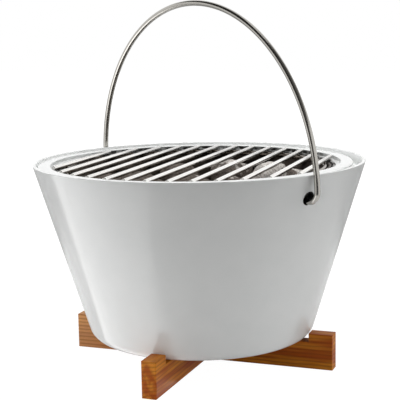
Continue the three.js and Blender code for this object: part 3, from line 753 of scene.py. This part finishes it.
satin_steel, tree, shader, place = new_material("satin_stainless_rod")
feed(tree, shader, {
    "Base Color": mixed(tree, noise(tree, place, SATIN_HAZE, 2.0), HANDLE_STEEL, HANDLE_STEEL_DEEP),
    "Metallic": 1.0,
    "Roughness": ramp(tree, noise(tree, place, SATIN_GRAIN, 3.0), to=HANDLE_ROUGHNESS)})

hinge = next(joint for joint in frame["joints"] if joint["name"] == "handle_swing")
pivot = hinge["pos_m"][2] / MM
stub_end = bowl_side(pivot - BOWL_BASE) - BOWL_WALL * SECANT - HANDLE_STUB
bend_start = HANDLE_HALF_SPAN - HANDLE_BEND
stub = np.linspace(stub_end + HANDLE_CHAMFER, bend_start, 4)[:-1]
turn = np.linspace(0, math.pi / 2, 13)[:-1]
sweep = np.linspace(0, math.pi / 2, 61)
half_path = np.concatenate([
    [[stub_end, 0], [stub_end + HANDLE_CHAMFER * CHAMFER_MIDDLE, 0]],
    np.stack([stub, 0 * stub], axis=-1),
    np.stack([bend_start + HANDLE_BEND * np.sin(turn), HANDLE_BEND * (1 - np.cos(turn))], axis=-1),
    np.stack([
        HANDLE_HALF_SPAN * np.cos(sweep),
        HANDLE_BEND + (HANDLE_RISE - HANDLE_BEND) * np.sin(sweep)], axis=-1),
])
flat_path = np.concatenate([half_path, (half_path * np.array([-1, 1]))[-2::-1]])
span_way = np.array([math.cos(HANDLE_AZIMUTH), math.sin(HANDLE_AZIMUTH), 0])
plane_way = np.array([-math.sin(HANDLE_AZIMUTH), math.cos(HANDLE_AZIMUTH), 0])
rise_way = -math.sin(HANDLE_LEAN) * plane_way + math.cos(HANDLE_LEAN) * np.array([0, 0, 1])
handle_path = np.outer(flat_path[:, 0], span_way) + np.outer(flat_path[:, 1], rise_way)
handle_path[:, 2] += pivot
radii = np.full(len(handle_path), HANDLE_DIAMETER / 2)
radii[[0, -1]] -= HANDLE_CHAMFER
radii[[1, -2]] -= HANDLE_CHAMFER * CHAMFER_MIDDLE
handle_grid = tube(handle_path, radii, np.cross(span_way, rise_way), HANDLE_SIDES)
handle = make("bent_rod_handle", [(handle_grid, cells(*handle_grid.shape[:2]))], satin_steel)
settle(handle, "bail", "handle_steel", "handle")


# The camera stands as the photograph's did: fitted to the bowl's outline, low and to the front, with
# a long lens and a slight roll. Its frame is taken to be 400 pixels square.

CAMERA_PLACE = (352.9, -921.3, 305.4)
CAMERA_HEADING = math.radians(20.96)
CAMERA_PITCH = math.radians(9.08)
CAMERA_ROLL = math.radians(1.03)
CAMERA_BEARING = CAMERA_HEADING - math.pi / 2
FOCAL_PIXELS = 1090.06
FRAME_PIXELS = 400
SHIFT_PIXELS = (0.2, 0.5)
SENSOR = 36

level_right = Vector((math.cos(CAMERA_HEADING), math.sin(CAMERA_HEADING), 0))
level_ahead = Vector((-math.sin(CAMERA_HEADING), math.cos(CAMERA_HEADING), 0))
forward = math.cos(CAMERA_PITCH) * level_ahead - Vector((0, 0, math.sin(CAMERA_PITCH)))
level_up = level_right.cross(forward)
right = math.cos(CAMERA_ROLL) * level_right - math.sin(CAMERA_ROLL) * level_up
up = math.sin(CAMERA_ROLL) * level_right + math.cos(CAMERA_ROLL) * level_up
lens = bpy.data.cameras.new("camera")
lens.sensor_width = SENSOR
lens.lens = FOCAL_PIXELS / FRAME_PIXELS * SENSOR
lens.shift_x, lens.shift_y = (pixels / FRAME_PIXELS for pixels in SHIFT_PIXELS)
camera = bpy.data.objects.new("camera", lens)
bpy.context.scene.collection.objects.link(camera)
camera.matrix_world = Matrix.Translation(Vector(metres(*CAMERA_PLACE))) @ Matrix(
    (right, up, -forward)).transposed().to_4x4()
bpy.context.scene.camera = camera


# A white sheet on a darker studio floor throws the overhead light back at the bowl's lower half. The
# camera sees it all as white, with a light shadow. Mirror images show the sheet dimmed, and the floor
# beyond it dark towards the camera, bright to both sides and dimmed behind the object.

FLOOR_HALF = 6
SHEET_EDGE = (0.35, 0.45)
SHEET_WHITE = "#e9e9e9"
STUDIO_GREY = "#3c3c3c"
SHADOW_REACH = (0.3, 0.6)
SEEN_SHARE = 0.88
FLOOR_WHITE = 1.12
MIRRORED_SHARE = 0.35
MIRRORED_SIDES = (0.04, 0.9)
DARK_SECTOR = (math.radians(22), math.radians(46))
LIGHT_SECTOR = (math.radians(100), math.radians(115))


def studio_sheet(name, points, corners, material):
    """A sheet of the studio, which isn't part of the object: points in metres and their four-cornered
    faces."""
    mesh = bpy.data.meshes.new(name)
    mesh.from_pydata(points.reshape(-1, 3).tolist(), [], corners.reshape(-1, 4).tolist())
    sheet = bpy.data.objects.new(name, mesh)
    bpy.context.scene.collection.objects.link(sheet)
    dress(sheet, material)
    return sheet


def blended(tree, share, first, second):
    """The first number with a share of the second in it."""
    return put(tree, "Mix", {"Factor": share, "A": first, "B": second}, data_type="FLOAT").outputs["Result"]


paper, tree, shader, place = new_material("white_paper_floor")
distance = vector_maths(tree, "LENGTH", place)
past = ramp(tree, distance, SHEET_EDGE)
feed(tree, shader, {
    "Base Color": mixed(tree, past, SHEET_WHITE, STUDIO_GREY), "Roughness": 1.0, "Specular IOR Level": 0.0})
facing = put(tree, "Mapping", {"Vector": place, "Rotation": (0, 0, -CAMERA_BEARING)}).outputs[0]
towards, aside, _ = put(tree, "SeparateXYZ", {0: facing}).outputs
turned_off = maths(tree, "ABSOLUTE", maths(tree, "ARCTAN2", aside, towards))
front_share = ramp(tree, turned_off, DARK_SECTOR, MIRRORED_SIDES, "SMOOTHSTEP")
far_share = blended(tree, ramp(tree, turned_off, LIGHT_SECTOR), front_share, MIRRORED_SHARE)
rays = put(tree, "LightPath").outputs
mirrored = maths(tree, "MAXIMUM", rays["Is Glossy Ray"], rays["Is Transmission Ray"])
dimmed = maths(tree, "MULTIPLY", mirrored, blended(tree, past, MIRRORED_SHARE, far_share))
bleach = ramp(tree, distance, SHADOW_REACH, (SEEN_SHARE, 1.0), "SMOOTHSTEP")
share = maths(tree, "MULTIPLY_ADD", rays["Is Camera Ray"], bleach, dimmed)
white = put(tree, "Emission", {"Color": (1, 1, 1, 1), "Strength": FLOOR_WHITE})
blend = put(tree, "MixShader", {0: share, 1: shader.outputs[0], 2: white.outputs[0]})
feed(tree, tree.nodes["Material Output"], {"Surface": blend.outputs[0]})
floor_corners = FLOOR_HALF * np.array([(-1, -1, 0), (1, -1, 0), (1, 1, 0), (-1, 1, 0)])
studio_sheet("studio_floor", floor_corners, np.arange(4), paper)


# The unlit room: a dark ceiling that comes down behind the camera to a low strip, and gets lighter to
# the right. Only mirror images in the metal and the glaze show it. Each row is an elevation and its
# first and last bearing, right of the camera, in degrees.

ROOM_RADIUS = 2200
ROOM_ROWS = (
    (-2, -42, 2), (8, -46, 4), (17, -50, 6), (24, -62, 10), (28, -96, 16), (33, -120, 60),
    (38, -138, 106), (50, -156, 112), (65, -165, 115), (80, -170, 150))
ROOM_COLUMNS = 60
ROOM_DARK = "#343332"
ROOM_GREY = "#7c7b79"
ROOM_LIGHTENS = (-660, 1540)


def only_mirrored(sheet):
    """Hides a sheet from all but mirror images."""
    sheet.visible_camera = False
    sheet.visible_diffuse = False
    sheet.visible_shadow = False


dim_room, tree, shader, place = new_material("dim_studio_room")
aside = vector_maths(tree, "DOT_PRODUCT", place, level_right)
walls = mixed(tree, ramp(tree, aside, metres(*ROOM_LIGHTENS)), ROOM_DARK, ROOM_GREY)
dim = put(tree, "Emission", {"Color": walls, "Strength": 1.0})
feed(tree, tree.nodes["Material Output"], {"Surface": dim.outputs[0]})
elevations, first_bearings, last_bearings = np.radians(np.array(ROOM_ROWS)).T[:, :, None]
run = np.linspace(0, 1, ROOM_COLUMNS)
bearings = CAMERA_BEARING + first_bearings + (last_bearings - first_bearings) * run
room_grid = ROOM_RADIUS * MM * np.stack([
    np.cos(elevations) * np.cos(bearings), np.cos(elevations) * np.sin(bearings),
    np.sin(elevations) + 0 * bearings], axis=-1)
room = studio_sheet("unlit_room", room_grid, cells(*bearings.shape)[:, :-1], dim_room)
only_mirrored(room)


# The world is white to the camera and in mirror images, and it lights nothing.

world = bpy.data.worlds.new("white_studio")
bpy.context.scene.world = world
world.use_nodes = True
tree = world.node_tree
rays = put(tree, "LightPath").outputs
mirrored = maths(tree, "MAXIMUM", rays["Is Glossy Ray"], rays["Is Transmission Ray"])
seen = maths(tree, "MAXIMUM", rays["Is Camera Ray"], mirrored)
feed(tree, tree.nodes["Background"], {"Color": (1, 1, 1, 1), "Strength": seen})


# The lamps, hidden from the camera and from mirror images. Each has its place about the object as seen
# from the camera (right, away, up), its size and its power. All of them look at the middle of the bowl.

LAMP_TARGET = Vector((0, 0, 0.13))
LAMPS = {
    "overhead": ((0, 0.1, 1.6), 1.6, 27),
    "left": ((-1.46, -0.33, 0.3), 0.9, 12.4),
    "right": ((1.48, -0.26, 0.3), 0.9, 3.4),
    "front": ((1.06, -1.06, 0.3), 0.9, 5.2),
}

for name, (place, size, power) in LAMPS.items():
    lamp = bpy.data.lights.new(name, "AREA")
    lamp.shape = "RECTANGLE"
    lamp.size = size
    lamp.size_y = size
    lamp.energy = power
    stand = bpy.data.objects.new(name, lamp)
    bpy.context.scene.collection.objects.link(stand)
    stand.location = level_right * place[0] + level_ahead * place[1] + Vector((0, 0, place[2]))
    stand.rotation_mode = "QUATERNION"
    stand.rotation_quaternion = (LAMP_TARGET - stand.location).to_track_quat("-Z", "Y")
    stand.visible_camera = False
    stand.visible_glossy = False


# A bright card lies on the sheet at the left, and only its mirror image in the glaze shows: its edge
# makes the step in the bowl's tone. The step is sharp near the rim and soft near the foot. The card's
# corners and the bend in its edge are places seen from the camera (right, away), and the slopes are how
# far right the edge goes for each millimetre away, before the bend and after it.

CARD_CORNERS = ((-596, 222), (20, -101), (-130, -384), (-745, -61))
CARD_HEIGHT = 2
CARD_GLOW = (2.2425, 2.73)
CARD_NEAR = (-250, -150)
CARD_BEND = (-139, -220)
CARD_SLOPES = (0.53, 0.95)
CARD_SOFTNESS = (4, 45)

lit_card, tree, shader, place = new_material("lit_white_card")
facing = put(tree, "Mapping", {"Vector": place, "Rotation": (0, 0, -CAMERA_HEADING)}).outputs[0]
along, away, _ = put(tree, "SeparateXYZ", {0: facing}).outputs
past = maths(tree, "SUBTRACT", away, CARD_BEND[1] * MM)
bent = maths(tree, "MULTIPLY", maths(tree, "MAXIMUM", past, 0.0), CARD_SLOPES[1] - CARD_SLOPES[0])
straight = maths(tree, "MULTIPLY_ADD", past, CARD_SLOPES[0], CARD_BEND[0] * MM)
beyond = maths(tree, "SUBTRACT", along, maths(tree, "ADD", straight, bent))
soft = ramp(tree, away, metres(*CARD_NEAR), metres(*CARD_SOFTNESS))
lit = ramp(tree, beyond, (maths(tree, "MULTIPLY", soft, -1.0), soft), (1.0, 0.0), "SMOOTHSTEP")
glow = ramp(tree, away, metres(*CARD_NEAR), CARD_GLOW)
bright = put(tree, "Emission", {"Color": (1, 1, 1, 1), "Strength": glow})
clear = put(tree, "BsdfTransparent")
edged = put(tree, "MixShader", {0: lit, 1: clear.outputs[0], 2: bright.outputs[0]})
feed(tree, tree.nodes["Material Output"], {"Surface": edged.outputs[0]})
card_points = np.array(CARD_CORNERS) @ np.array([level_right, level_ahead]) + (0, 0, CARD_HEIGHT)
card = studio_sheet("bright_card", card_points * MM, np.arange(4), lit_card)
only_mirrored(card)


# The picture's tones stay as they are.

view = bpy.context.scene.view_settings
view.view_transform = "Standard"
